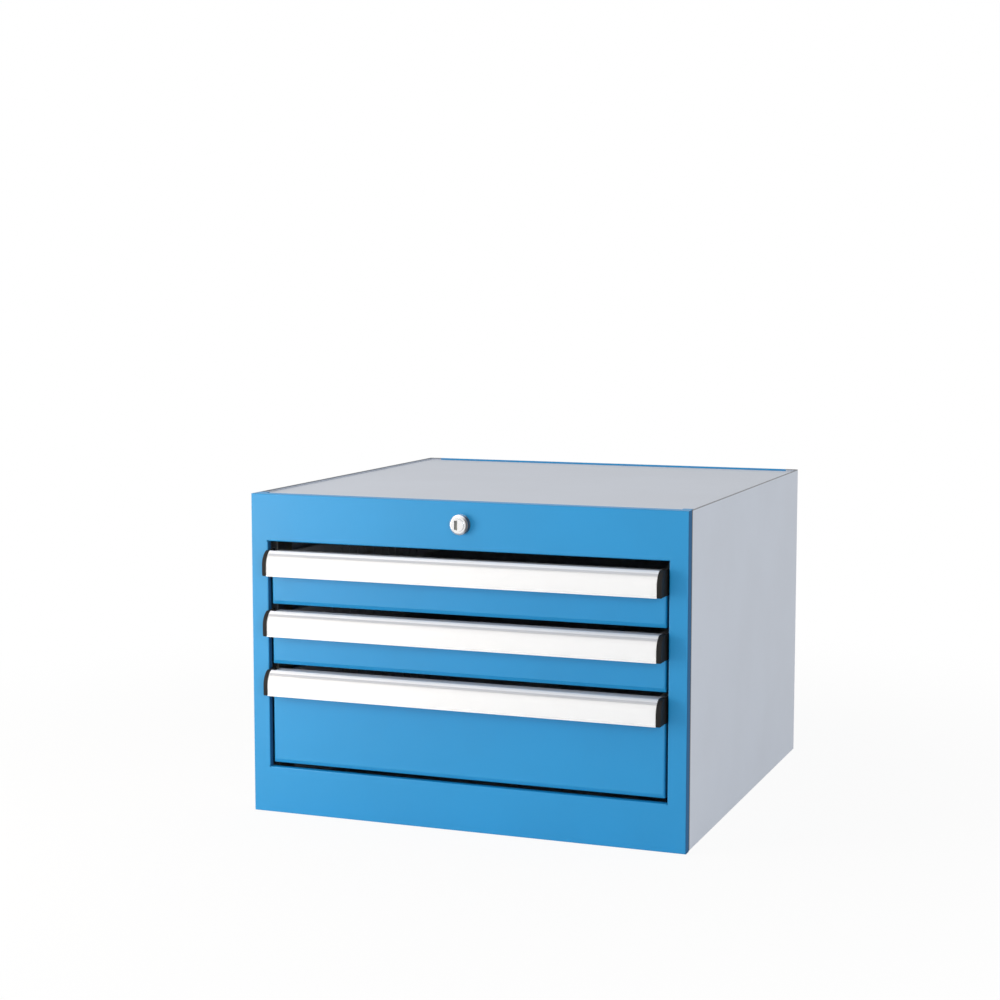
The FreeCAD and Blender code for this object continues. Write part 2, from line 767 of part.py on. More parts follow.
def tray(height, front_height):
    """Folded tray: floor, hemmed sides, front and rear walls, and rows of partition slots."""
    body = new_body("Tray")
    low = "tray_lift"
    floor = "tray_lift + tray_wall"
    rim = f"tray_lift + ({height})"
    under_rim = f"{rim} - tray_wall"
    section = outline(body, "XZ_Plane", [
        ("-tray_half", low), ("tray_half", low), ("tray_half", rim),
        ("tray_half - tray_hem", rim), ("tray_half - tray_hem", under_rim),
        ("tray_half - tray_wall", under_rim), ("tray_half - tray_wall", floor),
        ("tray_wall - tray_half", floor), ("tray_wall - tray_half", under_rim),
        ("tray_hem - tray_half", under_rim), ("tray_hem - tray_half", rim),
        ("-tray_half", rim)], offset="-panel_back")
    pad(body, section, "tray_length", reverse=True)
    for near, drop in (("panel_back", "0"), ("tray_end - tray_wall", "rear_wall_drop")):
        wall = outline(body, "XZ_Plane", [
            ("-tray_half", low), ("tray_half", low), ("tray_half", f"{under_rim} - {drop}"),
            ("-tray_half", f"{under_rim} - {drop}")], offset=f"-({near})")
        pad(body, wall, "tray_wall", reverse=True)
    start = "panel_back + slot_margin"
    slot_low = f"{low} + slot_bottom"
    slot_high = f"{rim} - slot_top_gap"
    slot = outline(body, "YZ_Plane", [
        (start, slot_low), (f"{start} + slot_width", slot_low),
        (f"{start} + slot_width", slot_high), (start, slot_high)])
    first = pocket(body, slot, "2 * (tray_half + tray_wall)")
    row_of(body, first, "Y_Axis", "slot_pitch",
           "floor((tray_length - 2 * slot_margin) / slot_pitch) + 1")
    holes = [rod("x", ("tray_half - tray_wall - flush", place, "rail_middle"),
                 "tray_wall + 2 * flush", RIVET_HOLE) for place in RIVET_PLACES]
    holes += [rod("y", (x, "panel_back - flush", level), "tray_wall + 2 * flush", RIVET_HOLE)
              for x in FRONT_SCREWS for level in front_screw_levels(front_height, height)]
    holes.append(rod("y", (CATCH_RIVET_X, "tray_end - tray_wall - flush", CATCH_RIVET_LEVEL),
                     "tray_wall + 2 * flush", RIVET_HOLE))
    return cut(body, *holes, *[mirrored(hole) for hole in holes])


def hood_strip(height, near, far, half, z):
    """A bent strip that follows the handle's hood between two depths under its outer surface."""
    low, high = z
    axis_level = f"({height}) - hood_drop"
    ring = cut(rod("x", (f"-({half})", "hood_axis", axis_level), f"2 * ({half})",
                   f"2 * (hood_radius - ({near}))"),
               rod("x", (f"-({half}) - wall", "hood_axis", axis_level), f"2 * ({half}) + 2 * wall",
                   f"2 * (hood_radius - ({far}))"))
    bend = common(ring, block((f"-({half})", half), ("hood_face", "hood_tip"), (axis_level, high)))
    flat = block((f"-({half})", half), (f"hood_face + {near}", f"hood_face + {far}"),
                 (low, axis_level))
    return fuse(bend, flat)


def label_span(height, play="0", slit="0"):
    """Lowest and highest level of the label's seat, less a play below and a slit above."""
    return (f"({height}) - handle_height + label_lip + {play}", f"({height}) - label_top - {slit}")


def handle(height):
    """Extruded grip: leg over the front panel, hood with a lip and a label seat, fixing flange."""
    top = f"({height})"
    leg_top = f"{top} - lip_rise"
    half = "cap_inner"
    hood = hood_strip(height, "0", "handle_wall", half, (f"{top} - handle_height", f"{top} + wall"))
    leg = block((f"-{half}", half), ("leg_start", "panel_face + leg_overlap"),
                (f"{leg_top} - handle_wall", leg_top))
    flange = block((f"-{half}", half), ("panel_face - flange_wall", "panel_face"),
                   (f"{top} - flange_height", leg_top))
    seat = hood_strip(height, "0", "label_recess", f"{half} + wall", label_span(height))
    holes = [rod("y", (x, "panel_face - flange_wall - flush", handle_screw_level(height)),
                 "flange_wall + 2 * flush", RIVET_HOLE) for x in HANDLE_SCREWS]
    return cut(fuse(hood, leg, flange), seat, *holes, *[mirrored(hole) for hole in holes])


def label_strip(height):
    """White card that lies in the handle's label seat."""
    return hood_strip(height, "label_recess - label_play - label_sheet",
                      "label_recess - label_play", "cap_inner",
                      label_span(height, "label_play", "label_slit"))


def label_cover(height):
    """Clear cover over the card, flush with the handle's lips."""
    return hood_strip(height, "label_play", "label_play + cover_sheet", "cap_inner",
                      label_span(height, "label_play", "label_slit"))


def end_cap(height):
    """Plastic cap that fills the hood's end and reaches back beside the front panel."""
    top = f"({height})"
    x = ("cap_inner", "handle_half")
    axis_level = f"{top} - hood_drop"
    round_part = common(rod("x", (x[0], "hood_axis", axis_level), "cap_width", "2 * hood_radius"),
                        block(x, ("hood_face", "hood_axis"), (axis_level, top)))
    lower = block(x, ("hood_face", "hood_axis"), (f"{top} - handle_height", axis_level))
    rear = block(x, ("hood_axis", "panel_face"), (f"{top} - handle_height", top))
    tail = block(("front_half + cap_side_gap", "handle_half"), ("hood_axis", "panel_face + cap_tail"),
                 (f"{top} - handle_height", top))
    return fuse(round_part, lower, rear, tail)


def catch():
    """Bracket on the tray's rear wall with a lip that the locking bar's hook holds."""
    half = "catch_width / 2"
    top = "tray_lift + catch_height"
    plate = block((f"-{half}", half), ("tray_end", "tray_end + catch_wall"),
                  (f"{top} - 2 * catch_lip", top))
    leg = block((f"-{half}", half), ("tray_end", "catch_lip_front + catch_wall"),
                (f"{top} - catch_wall", top))
    lip = block((f"-{half}", half), ("catch_lip_front", "catch_lip_front + catch_wall"),
                (f"{top} - catch_wall - catch_lip", top))
    hole = rod("y", (CATCH_RIVET_X, "tray_end - flush", CATCH_RIVET_LEVEL),
               "catch_wall + 2 * flush", RIVET_HOLE)
    return cut(fuse(plate, leg, lip), hole, mirrored(hole))


def rivet(axis, start, grip, forward=True):
    """A rivet whose shank runs from its head's underside through its grip."""
    index = "xyz".index(axis)
    head_start = list(start)
    shank_start = list(start)
    if forward:
        head_start[index] = f"{start[index]} - rivet_head_depth"
    else:
        shank_start[index] = f"{start[index]} - ({grip})"
    return fuse(rod(axis, head_start, "rivet_head_depth", "rivet_head"),
                rod(axis, shank_start, grip, "rivet_diameter"))


def drawer_fasteners(height, tray_height):
    """Rivets of the slides, the front panel, the handle and the catch on one drawer."""
    solids = [rivet("x", ("tray_half + rail_sheet", place, "rail_middle"),
                    "rail_sheet + tray_wall", forward=False) for place in RIVET_PLACES]
    solids += [rivet("y", (x, "panel_wall_back", handle_screw_level(height)),
                     "front_wall + flange_wall", forward=False) for x in HANDLE_SCREWS]
    solids += [rivet("y", (x, "panel_back + tray_wall", level), "tray_wall + front_wall",
                     forward=False) for x in FRONT_SCREWS
               for level in front_screw_levels(height, tray_height)]
    solids.append(rivet("y", (CATCH_RIVET_X, "tray_end - tray_wall", CATCH_RIVET_LEVEL),
                        "tray_wall + catch_wall"))
    return group(*solids, *[mirrored(solid) for solid in solids])


for name, base, front_height, tray_height in DRAWERS:
    keep(front_panel(front_height, tray_height), f"{name}_front", base)
    keep(tray(tray_height, front_height), f"{name}_tray", base)
    keep(handle(front_height), f"{name}_handle", base)
    keep(label_strip(front_height), f"{name}_label", base)
    keep(label_cover(front_height), f"{name}_label_cover", base)
    keep(both_sides(end_cap(front_height)), f"{name}_handle_caps", base)
    keep(catch(), f"{name}_catch", base)
    keep(drawer_fasteners(front_height, tray_height), f"{name}_fasteners", base)


# Lock
LOCK_FACE = "front - lock_flange - drum_length"


def turned(body, points):
    """A solid turned about the Y axis from an outline of places along it and radii."""
    feature = body.newObject("PartDesign::Revolution", "Turning")
    profile = outline(body, "YZ_Plane", points)
    feature.Profile = profile
    feature.ReferenceAxis = (profile, ["H_Axis"])
    feature.Angle = 360
    return body


def lock_body():
    """Flanged lock housing with the plug's bore and chamfered rims."""
    bore = "plug_diameter / 2 + plug_play"
    flange = "flange_diameter / 2"
    drum = "drum_diameter / 2"
    return turned(new_body("LockBody"), [
        (LOCK_FACE, bore), (LOCK_FACE, f"{drum} - drum_chamfer"),
        (f"{LOCK_FACE} + drum_chamfer", drum), ("front - lock_flange", drum),
        ("front - lock_flange", f"{flange} - flange_chamfer"),
        ("front - lock_flange + flange_chamfer", flange), ("front", flange),
        ("front", "barrel_diameter / 2"), ("front + barrel_length", "barrel_diameter / 2"),
        ("front + barrel_length", bore)])


keep(lock_body(), "lock_body", "lock_level")


def lock_nut():
    """Hexagon nut that clamps the lock behind the fascia."""
    prism = doc.addObject("Part::Prism", "Hexagon")
    prism.Polygon = 6
    prism.setExpression("Circumradius", bound("nut_width / sqrt(3)"))
    prism.setExpression("Height", bound("nut_thickness"))
    prism.Placement = FreeCAD.Placement(FreeCAD.Vector(), TURNS["y"])
    prism.setExpression("Placement.Base.y", bound("front + wall"))
    hole = rod("y", ("0", "front", "0"), "nut_thickness + 2 * wall",
               "barrel_diameter + 2 * thread_play")
    return cut(prism, hole)


keep(lock_nut(), "lock_nut", "lock_level")


def lock_plug():
    """Turning plug that stands out of the drum, with an upright key slot beside its axis."""
    plug_face = f"{LOCK_FACE} - plug_rise"
    plug = rod("y", ("0", plug_face, "0"), "plug_rise + lock_flange + drum_length + barrel_length",
               "plug_diameter")
    slot = block(("-key_slot_offset - key_slot_width / 2", "key_slot_width / 2 - key_slot_offset"),
                 (f"{plug_face} - wall", f"{plug_face} + key_slot_depth"),
                 ("-key_slot_height / 2", "key_slot_height / 2"))
    return cut(plug, slot)


keep(lock_plug(), "lock_plug", "lock_level")
keep(rod("y", ("0", "front + barrel_length", "0"), "crank_back - front - barrel_length",
         "shaft_diameter"), "lock_shaft", "lock_level")


def lock_crank():
    """Collar, arm and pin on the rear end of the shaft; the pin starts down and to the right."""
    collar = rod("y", ("0", "crank_front", "0"), "crank_thickness", "crank_collar")
    boss = rod("y", ("pin_offset", "crank_front", "-pin_offset"), "crank_thickness",
               "pin_diameter + 2 * crank_thickness")
    pin = rod("y", ("pin_offset", "crank_front", "-pin_offset"),
              "crank_thickness + bar_gap + bar_thickness", "pin_diameter")
    hole = rod("y", ("0", "crank_front - wall", "0"), "crank_thickness + 2 * wall",
               "shaft_diameter")
    return cut(fuse(collar, boss, pin), hole)


keep(lock_crank(), "lock_crank", "lock_level")


def shaft_bracket():
    """Angle under the top panel whose bore carries the shaft's rear end."""
    near = "crank_front - bar_gap - catch_wall"
    half = "bracket_width / 2"
    plate = block((f"-{half}", half), (near, f"{near} + catch_wall"),
                  ("-bracket_drop", "top_under - lock_level"))
    foot = block((f"-{half}", half), (f"{near} - bracket_foot", f"{near} + catch_wall"),
                 ("top_under - lock_level - catch_wall", "top_under - lock_level"))
    bore = rod("y", ("0", f"{near} - wall", "0"), "catch_wall + 2 * wall",
               "shaft_diameter + 2 * shaft_play")
    return cut(fuse(plate, foot), bore)


keep(shaft_bracket(), "shaft_bracket", "lock_level")


# Locking bar
BAR_TOP = "lock_level + bar_lift / 2"
HOOK_LEVELS = [f"{base} + tray_lift + catch_height - catch_wall - catch_lip - hook_gap"
               for _, base, _, _ in DRAWERS]


def locking_bar():
    """Upright flat bar with a crank slot near its top and three hooks that point up."""
    body = new_body("LockingBar")
    half = "bar_width / 2"
    strip = outline(body, "XZ_Plane", [
        (f"-{half}", "plinth_height + bar_foot"), (half, "plinth_height + bar_foot"),
        (half, BAR_TOP), (f"-{half}", BAR_TOP)], offset="-bar_front")
    pad(body, strip, "bar_thickness", reverse=True)
    near = "tray_end + catch_wall + catch_clear"
    for level in HOOK_LEVELS:
        elbow = f"{level} - hook_rise"
        hook = outline(body, "YZ_Plane", [
            (near, f"{elbow} - hook_wall"), ("bar_front", f"{elbow} - hook_wall"),
            ("bar_front", elbow), (f"{near} + hook_wall", elbow),
            (f"{near} + hook_wall", level), (near, level)])
        pad(body, hook, "hook_width", side="Symmetric")
    reach = "(pin_diameter / 2 + pin_play)"
    left, right = f"pin_offset - {reach}", f"crank_throw + {reach}"
    low, high = f"lock_level - pin_offset - {reach}", f"lock_level - pin_offset + {reach}"
    slot = outline(body, "XZ_Plane", [(left, low), (right, low), (right, high), (left, high)],
                   offset="-bar_front")
    pocket(body, slot, "4 * bar_thickness")
    return body


keep(locking_bar(), "locking_bar")


def bar_guide(level):
    """Plastic block on the back panel with a passage for the locking bar."""
    half = "bar_width / 2 + bar_play"
    outer = block((f"-({half}) - guide_wall", f"{half} + guide_wall"),
                  ("bar_front - bar_play - guide_wall", "rear - wall"),
                  (level, f"{level} + guide_height"))
    passage = block((f"-({half})", half), ("bar_front - bar_play", "bar_back + bar_play"),
                    (f"{level} - wall", f"{level} + guide_height + wall"))
    hole = rod("y", (GUIDE_SCREW_X, "rear - guide_screw_length - hole_play",
                     f"{level} + guide_height / 2"), "guide_screw_length", PANEL_HOLE)
    return cut(outer, passage, hole, mirrored(hole))


keep(group(*[bar_guide(level) for level in GUIDE_LEVELS]), "bar_guides")


# Screws of the back and bottom panels and of the guides
panel_screws = [screw("y", (BACK_SCREW_X, "rear", level), "-", "panel_screw", "panel_screw_length")
                for level in BACK_SCREW_LEVELS]
panel_screws += [screw("z", (BASE_SCREW_X, place, "0"), "+", "panel_screw", "panel_screw_length")
                 for place in BASE_SCREW_PLACES]
panel_screws += [screw("y", (GUIDE_SCREW_X, "rear", f"{level} + guide_height / 2"), "-",
                       "panel_screw", "guide_screw_length") for level in GUIDE_LEVELS]
keep(group(*panel_screws, *[mirrored(screw) for screw in panel_screws]), "panel_screws")

doc.recompute()
for item in doc.Objects:
    if {"Invalid", "Error"} & set(item.State):
        raise RuntimeError(f"{item.Name} ({item.Label}) failed: {item.State}")
for part in SUB_PARTS:
    if part.Shape.isNull() or not part.Shape.isValid():
        raise RuntimeError(f"{part.Label} has no valid shape")

os.makedirs("parts", exist_ok=True)
for part in SUB_PARTS:
    part.Shape.exportStep(f"parts/{part.Label}.step")
print(len(SUB_PARTS), "sub-parts written")
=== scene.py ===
# %% [markdown]
# # Dressing a low steel drawer cabinet
# The cabinet is a box of folded sheet steel: grey sides and top, a blue front frame, and three blue drawers
# on ball slides with white handle strips. Its sheets, rails and screws are already in place in a fixed
# frame, measured in metres. What is left for Blender is the camera, the light, the finishes, and the small
# moulded and turned pieces that a plain solid can't show.

# %% Load the fixed frame
import json
import math

import bmesh
import bpy
from mathutils import Matrix, Vector


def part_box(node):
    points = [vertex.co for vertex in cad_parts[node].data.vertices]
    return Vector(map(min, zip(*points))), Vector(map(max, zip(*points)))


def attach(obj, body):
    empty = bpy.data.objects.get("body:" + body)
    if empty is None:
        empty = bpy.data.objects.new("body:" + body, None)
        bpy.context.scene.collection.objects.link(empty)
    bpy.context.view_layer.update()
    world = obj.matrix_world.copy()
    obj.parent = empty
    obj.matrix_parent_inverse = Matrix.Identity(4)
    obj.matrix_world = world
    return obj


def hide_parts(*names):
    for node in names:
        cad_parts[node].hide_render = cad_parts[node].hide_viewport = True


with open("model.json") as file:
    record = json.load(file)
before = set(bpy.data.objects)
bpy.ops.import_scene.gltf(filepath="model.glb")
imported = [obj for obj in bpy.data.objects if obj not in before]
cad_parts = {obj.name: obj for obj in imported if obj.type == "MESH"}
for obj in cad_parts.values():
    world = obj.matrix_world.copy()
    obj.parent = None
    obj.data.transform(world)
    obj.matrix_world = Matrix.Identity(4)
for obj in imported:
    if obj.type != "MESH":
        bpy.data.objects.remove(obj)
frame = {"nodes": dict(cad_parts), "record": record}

bpy.context.scene.view_settings.view_transform = "Standard"
nodes = frame["nodes"]
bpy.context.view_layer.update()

# %% [markdown]
# ## The camera
# A product photograph of a cabinet is taken with a long lens from one front corner, so that the front keeps
# nearly its true shape and the side is seen at a slant. The camera stands a little over 2 m in front of the
# cabinet, to its right and slightly above it, and looks slightly down. A helper that frames the object
# could place it as well, but would move it whenever a piece changes, so its place is written in numbers.

# %% Place the camera
SENSOR_WIDTH = 36
FOCAL_LENGTH = 70.84
CAMERA_PLACE = (0.8744, -2.4360, 0.6461)
CAMERA_TILT = 84.004     # degrees up from straight down
CAMERA_TURN = 20.969     # degrees to the left

lens = bpy.data.cameras.new("long_lens")
lens.sensor_width = SENSOR_WIDTH
lens.lens = FOCAL_LENGTH
camera = bpy.data.objects.new("camera", lens)
camera.location = CAMERA_PLACE
camera.rotation_euler = (math.radians(CAMERA_TILT), 0, math.radians(CAMERA_TURN))
bpy.context.scene.collection.objects.link(camera)
bpy.context.scene.camera = camera
print("camera at", tuple(camera.location))

# %% [markdown]
# ## Writing shader sums as sums
# A finish is a network of nodes. Adding each node and link by hand hides the idea in bookkeeping, so one
# small class wraps an output socket and lets Python's own operators add the Math nodes. One method makes
# any other node: its settings go in first, because some of them change which sockets there are.

# %% A signal that can be added, multiplied and mixed
class Signal:
    """An output socket. Arithmetic on signals and numbers adds the Math nodes that it needs."""

    def __init__(self, tree, socket):
        self.tree = tree
        self.socket = socket

    @classmethod
    def node(cls, tree, kind, settings=None, inputs=None, output=0):
        """A new node, its settings first, then its sockets' values or links; gives one output."""
        made = tree.nodes.new(kind)
        for name, value in (settings or {}).items():
            setattr(made, name, value)
        for name, value in (inputs or {}).items():
            if isinstance(value, Signal):
                tree.links.new(value.socket, made.inputs[name])
            else:
                made.inputs[name].default_value = value
        return cls(tree, made.outputs[output]) if len(made.outputs) else None

    def combine(self, operation, first, second):
        """One Math node on two signals or numbers."""
        return Signal.node(self.tree, "ShaderNodeMath", {"operation": operation}, {0: first, 1: second})

    def __add__(self, other):
        return self.combine("ADD", self, other)

    def __sub__(self, other):
        return self.combine("SUBTRACT", self, other)

    def __rsub__(self, other):
        return self.combine("SUBTRACT", other, self)

    def __mul__(self, other):
        return self.combine("MULTIPLY", self, other)

    __radd__ = __add__
    __rmul__ = __mul__

    def at_most(self, limit):
        """The signal where it is below a limit, and the limit elsewhere."""
        return self.combine("MINIMUM", self, limit)

    def between(self, low, high):
        """0 where the signal is low, 1 where it is high, with a soft step from one to the other."""
        return Signal.node(self.tree, "ShaderNodeMapRange", {"interpolation_type": "SMOOTHSTEP"},
                           {"Value": self, "From Min": low, "From Max": high})

    def blend(self, none, full):
        """One colour where the signal is 0 and the other where it is 1."""
        return Signal.node(self.tree, "ShaderNodeMix", {"data_type": "RGBA"},
                           {0: self, 6: none, 7: full}, output=2)

    def length(self):
        """The length of a signal that is a vector."""
        return Signal.node(self.tree, "ShaderNodeVectorMath", {"operation": "LENGTH"},
                           {0: self}, output="Value")

    def towards(self, direction):
        """How far a signal that is a vector reaches in a direction."""
        return Signal.node(self.tree, "ShaderNodeVectorMath", {"operation": "DOT_PRODUCT"},
                           {0: self, 1: direction}, output="Value")


print("signals ready")

# %% [markdown]
# ## Colours as they are seen
# A colour picked from a screen is written in 0 to 255 steps that are bunched up in the darks, while a shader
# counts light. The usual curve of screens turns one into the other, and a shade is the same colour with
# more or less light in it.

# %% Turn a screen colour into a shader colour
WHITE = (1.0, 1.0, 1.0, 1.0)


def seen(red, green, blue, shade=1.0):
    """A colour from its screen values, with a share of its light."""
    def light(step):
        part = step / 255
        return shade * (part / 12.92 if part < 0.04045 else ((part + 0.055) / 1.055) ** 2.4)
    return (light(red), light(green), light(blue), 1.0)


print("mid grey holds", round(seen(128, 128, 128)[0], 3), "of the light")

# %% [markdown]
# ## The studio
# The cabinet stands on a plain white sweep. To a camera the sweep is so bright that floor and background
# run together, with only a soft shade under the object. Making the lamps that bright would wash out the
# paint, so the floor and the world look white to rays from the camera and to reflections, and light the
# cabinet at a plain level.

# %% The world behind and around
AMBIENT = 0.50


def white_to_the_eye(tree):
    """1 for rays that come from the camera, a reflection or a clear sheet, and 0 for light that falls."""
    def ray(kind):
        return Signal.node(tree, "ShaderNodeLightPath", output=kind)
    return (ray("Is Camera Ray") + ray("Is Glossy Ray") + ray("Is Transmission Ray")).at_most(1)


world = bpy.data.worlds.new("studio")
bpy.context.scene.world = world
world.use_nodes = True
world.node_tree.nodes.clear()
room = Signal.node(world.node_tree, "ShaderNodeBackground", None, {
    "Color": WHITE, "Strength": AMBIENT + (1 - AMBIENT) * white_to_the_eye(world.node_tree)})
Signal.node(world.node_tree, "ShaderNodeOutputWorld", None, {"Surface": room})
print("world lights at", AMBIENT)

# %% [markdown]
# The floor mixes white card, which takes a shadow, with an even glow. Near the cabinet the glow leaves a
# small share to the card, so that a shadow shows. Farther out the glow takes over, so that no edge shows
# where the floor ends and the background begins.

# %% The floor
FLOOR_REACH = 6
FLOOR_LEVEL = -0.0002
FLOOR_CARD = (0.88, 0.88, 0.88, 1)
FLOOR_GLOW = 0.92
FADE_START = 0.4
FADE_END = 1.3

floor_paint = bpy.data.materials.new("white_floor")
floor_paint.use_nodes = True
floor_tree = floor_paint.node_tree
floor_tree.nodes.clear()
card = Signal.node(floor_tree, "ShaderNodeBsdfDiffuse", None, {"Color": FLOOR_CARD})
glow = Signal.node(floor_tree, "ShaderNodeEmission", None, {"Color": WHITE, "Strength": 1})
distance = Signal.node(floor_tree, "ShaderNodeTexCoord", output="Object").length()
glow_share = FLOOR_GLOW + (1 - FLOOR_GLOW) * distance.between(FADE_START, FADE_END)
floor_mix = Signal.node(floor_tree, "ShaderNodeMixShader", None, {
    0: glow_share * white_to_the_eye(floor_tree), 1: card, 2: glow})
Signal.node(floor_tree, "ShaderNodeOutputMaterial", None, {"Surface": floor_mix})

floor_mesh = bpy.data.meshes.new("floor")
floor_mesh.from_pydata([(x * FLOOR_REACH, y * FLOOR_REACH, FLOOR_LEVEL)
                        for x, y in ((-1, -1), (1, -1), (1, 1), (-1, 1))], [], [(0, 1, 2, 3)])
floor_mesh.materials.append(floor_paint)
floor = bpy.data.objects.new("floor", floor_mesh)
bpy.context.scene.collection.objects.link(floor)
print("floor", 2 * FLOOR_REACH, "m wide")

# %% [markdown]
# A softbox stands on the floor at the left, close to the front. The left part of the front mirrors it
# towards the camera, so a pale sheen lies there and fades out to the right. The softbox is slightly warm,
# which takes some blue out of the sheen. A lamp to the right of the camera evens out the front and reaches
# into the gaps and on to the grey side, a weak one behind lifts the far end of that side, and a warm one,
# high up in front at the left, lights the top.

# %% The lamps
def soft_lamp(name, position, target, size, power, tint=(1, 1, 1)):
    """A square lamp that looks from its position at a target; its size is in metres, its power in watts."""
    lamp = bpy.data.lights.new(name, "AREA")
    lamp.color = tint
    lamp.shape = "SQUARE"
    lamp.size = size
    lamp.energy = power
    holder = bpy.data.objects.new(name, lamp)
    holder.location = position
    holder.rotation_euler = (Vector(target) - Vector(position)).to_track_quat("-Z", "Y").to_euler()
    bpy.context.scene.collection.objects.link(holder)


soft_lamp("softbox_left", position=(-0.95, -1.0, 0.33), target=(-0.2, -0.285, 0.08), size=0.66, power=7.8,
          tint=(1, 0.90, 0.80))
soft_lamp("lamp_by_camera", position=(1.5, -2.4, 0.9), target=(0.1, -0.285, 0.2), size=0.7, power=16)
soft_lamp("lamp_behind", position=(2.0, 1.0, 0.9), target=(0.28, 0.1, 0.2), size=1.2, power=4.5)
soft_lamp("lamp_above", position=(-0.8, -0.5, 1.5), target=(0, 0, 0.4), size=1.2, power=5.2,
          tint=(1, 0.89, 0.81))

# %% [markdown]
# ## Starting a finish
# Every finish below ends in one Principled surface. Its textures read the object's own coordinates, which
# are metres here, so a scale of 500 gives a grain of 2 mm on every piece alike. Two more signals help to
# find a place on the cabinet: where a point lies, and which way its surface faces.

# %% Helpers that every finish shares
FINISHES = {}


def new_finish(name):
    """List an empty material as a finish, and give its node tree."""
    material = bpy.data.materials.new(name)
    material.use_nodes = True
    material.node_tree.nodes.clear()
    FINISHES[name] = material
    return material.node_tree


def place(tree, stretch=(1, 1, 1)):
    """Metres from the cabinet's origin, stretched along the axes."""
    metres = Signal.node(tree, "ShaderNodeTexCoord", output="Object")
    return Signal.node(tree, "ShaderNodeVectorMath", {"operation": "MULTIPLY"}, {0: metres, 1: stretch})


def facing(tree):
    """The direction in which the surface faces."""
    return Signal.node(tree, "ShaderNodeNewGeometry", output="Normal")


def noise(tree, scale, detail, stretch=(1, 1, 1)):
    """Smooth random cloud between 0 and 1, with about as many clouds to the metre as its scale."""
    return Signal.node(tree, "ShaderNodeTexNoise", None, {
        "Vector": place(tree, stretch), "Scale": scale, "Detail": detail})


def bump(tree, height, depth):
    """A normal that follows a height, where a height of 1 is as deep as the depth in metres."""
    return Signal.node(tree, "ShaderNodeBump", None, {"Height": height, "Distance": depth})


def surface(tree, **sockets):
    """The Principled surface at the end of a finish; an underscore in a name stands for a blank."""
    inputs = {name.replace("_", " "): value for name, value in sockets.items()}
    shader = Signal.node(tree, "ShaderNodeBsdfPrincipled", None, inputs)
    Signal.node(tree, "ShaderNodeOutputMaterial", None, {"Surface": shader})


print("finish helpers ready")

# %% [markdown]
# ## Powder paint
# Powder paint is dusted on dry and baked until it flows out. It never gets quite flat: close up it has the
# dimples of an orange skin, one to two millimetres across and a few hundredths of a millimetre deep, and
# the colour is very slightly cloudy. A noise of that scale drives the bump, and a much wider one the cloud.
#
# Two places get painted shade. A dark line is painted along the top edge of the grey sheets, and the seam
# where they meet the blue frame is painted near-black. The outer side returns of the blue frame are painted
# a darker blue as shade, and made duller. Both are found by where they lie, which keeps each paint a single
# finish.

# %% Powder paint in three colours
RIGHT = (1, 0, 0)
BACK = (0, 1, 0)
UP = (0, 0, 1)
SHEET_TOP = 0.3986       # the painted shade along the grey sheets' top edge lies above this
FRAME_SEAM = -0.2690     # the grey sheets meet the blue frame in front of this
FRAME_RETURN = 0.256     # the frame's side returns lie farther than this from the middle
EDGE_FADE = 0.0005       # widths of the soft steps at these three places
SEAM_FADE = 0.0003
RETURN_FADE = 0.001
# painted shade: a dark line on the grey sheets' top edge, near-black in their seam with the frame, and a
# darker blue on the frame's side returns
EDGE_SHADE = seen(84, 86, 90)
SEAM_SHADE = seen(18, 24, 32)
RETURN_SHADE_BLUE = seen(0, 88, 136)


def powder_paint(name, colour, roughness, gloss, painted_edge_shade=False, shaded_returns=False):
    """Satin powder paint with an orange skin and, where asked for, painted shade on edges, seam or side
    returns.
    """
    tree = new_finish(name)
    cloud = noise(tree, scale=7, detail=3)
    dimples = noise(tree, scale=620, detail=1.5)
    flow = noise(tree, scale=110, detail=1)
    tone = cloud.between(0.3, 0.7).blend(seen(*colour, shade=0.975), seen(*colour, shade=1.02))
    dull = roughness + 0.05 * (cloud - 0.5) + 0.05 * (dimples - 0.5)
    if painted_edge_shade:
        # painted shade: a dark line along the grey sheets' top edge, and near-black where they meet the frame
        edge = 0.8 * place(tree).towards(UP).between(SHEET_TOP, SHEET_TOP + EDGE_FADE)
        painted_seam_shade = place(tree).towards(BACK).between(FRAME_SEAM + SEAM_FADE, FRAME_SEAM)
        tone = painted_seam_shade.blend(edge.blend(tone, EDGE_SHADE), SEAM_SHADE)
    if shaded_returns:
        # painted shade: the frame's outer side returns get a darker blue, and a higher roughness
        sideways = facing(tree).towards(RIGHT)
        outward = place(tree).towards(RIGHT)
        return_shade = (sideways * sideways).between(0.3, 0.8) * (outward * outward).between(
            (FRAME_RETURN - RETURN_FADE) ** 2, FRAME_RETURN ** 2)
        tone = return_shade.blend(tone, RETURN_SHADE_BLUE)
        dull = dull + 0.4 * return_shade
    surface(tree, Base_Color=tone, Roughness=dull, IOR=1.5, Specular_IOR_Level=gloss,
            Normal=bump(tree, dimples + 1.5 * flow, depth=0.00003))


powder_paint("blue_paint", (8, 142, 203), roughness=0.50, gloss=0.6, shaded_returns=True)
powder_paint("grey_paint", (198, 206, 219), roughness=0.42, gloss=0.4, painted_edge_shade=True)
powder_paint("tray_paint", (196, 199, 205), roughness=0.40, gloss=0.4)
print("powder paint:", *FINISHES)

# %% [markdown]
# ## Zinc on steel
# Fasteners and brackets are plated with zinc, which dries in faint blue and yellow tints over a fine grain.
# The slides are rolled from bright strip, so they carry long hair lines along the rail. The same noise
# gives both: even for the plated pieces, and stretched along the depth for the slides.

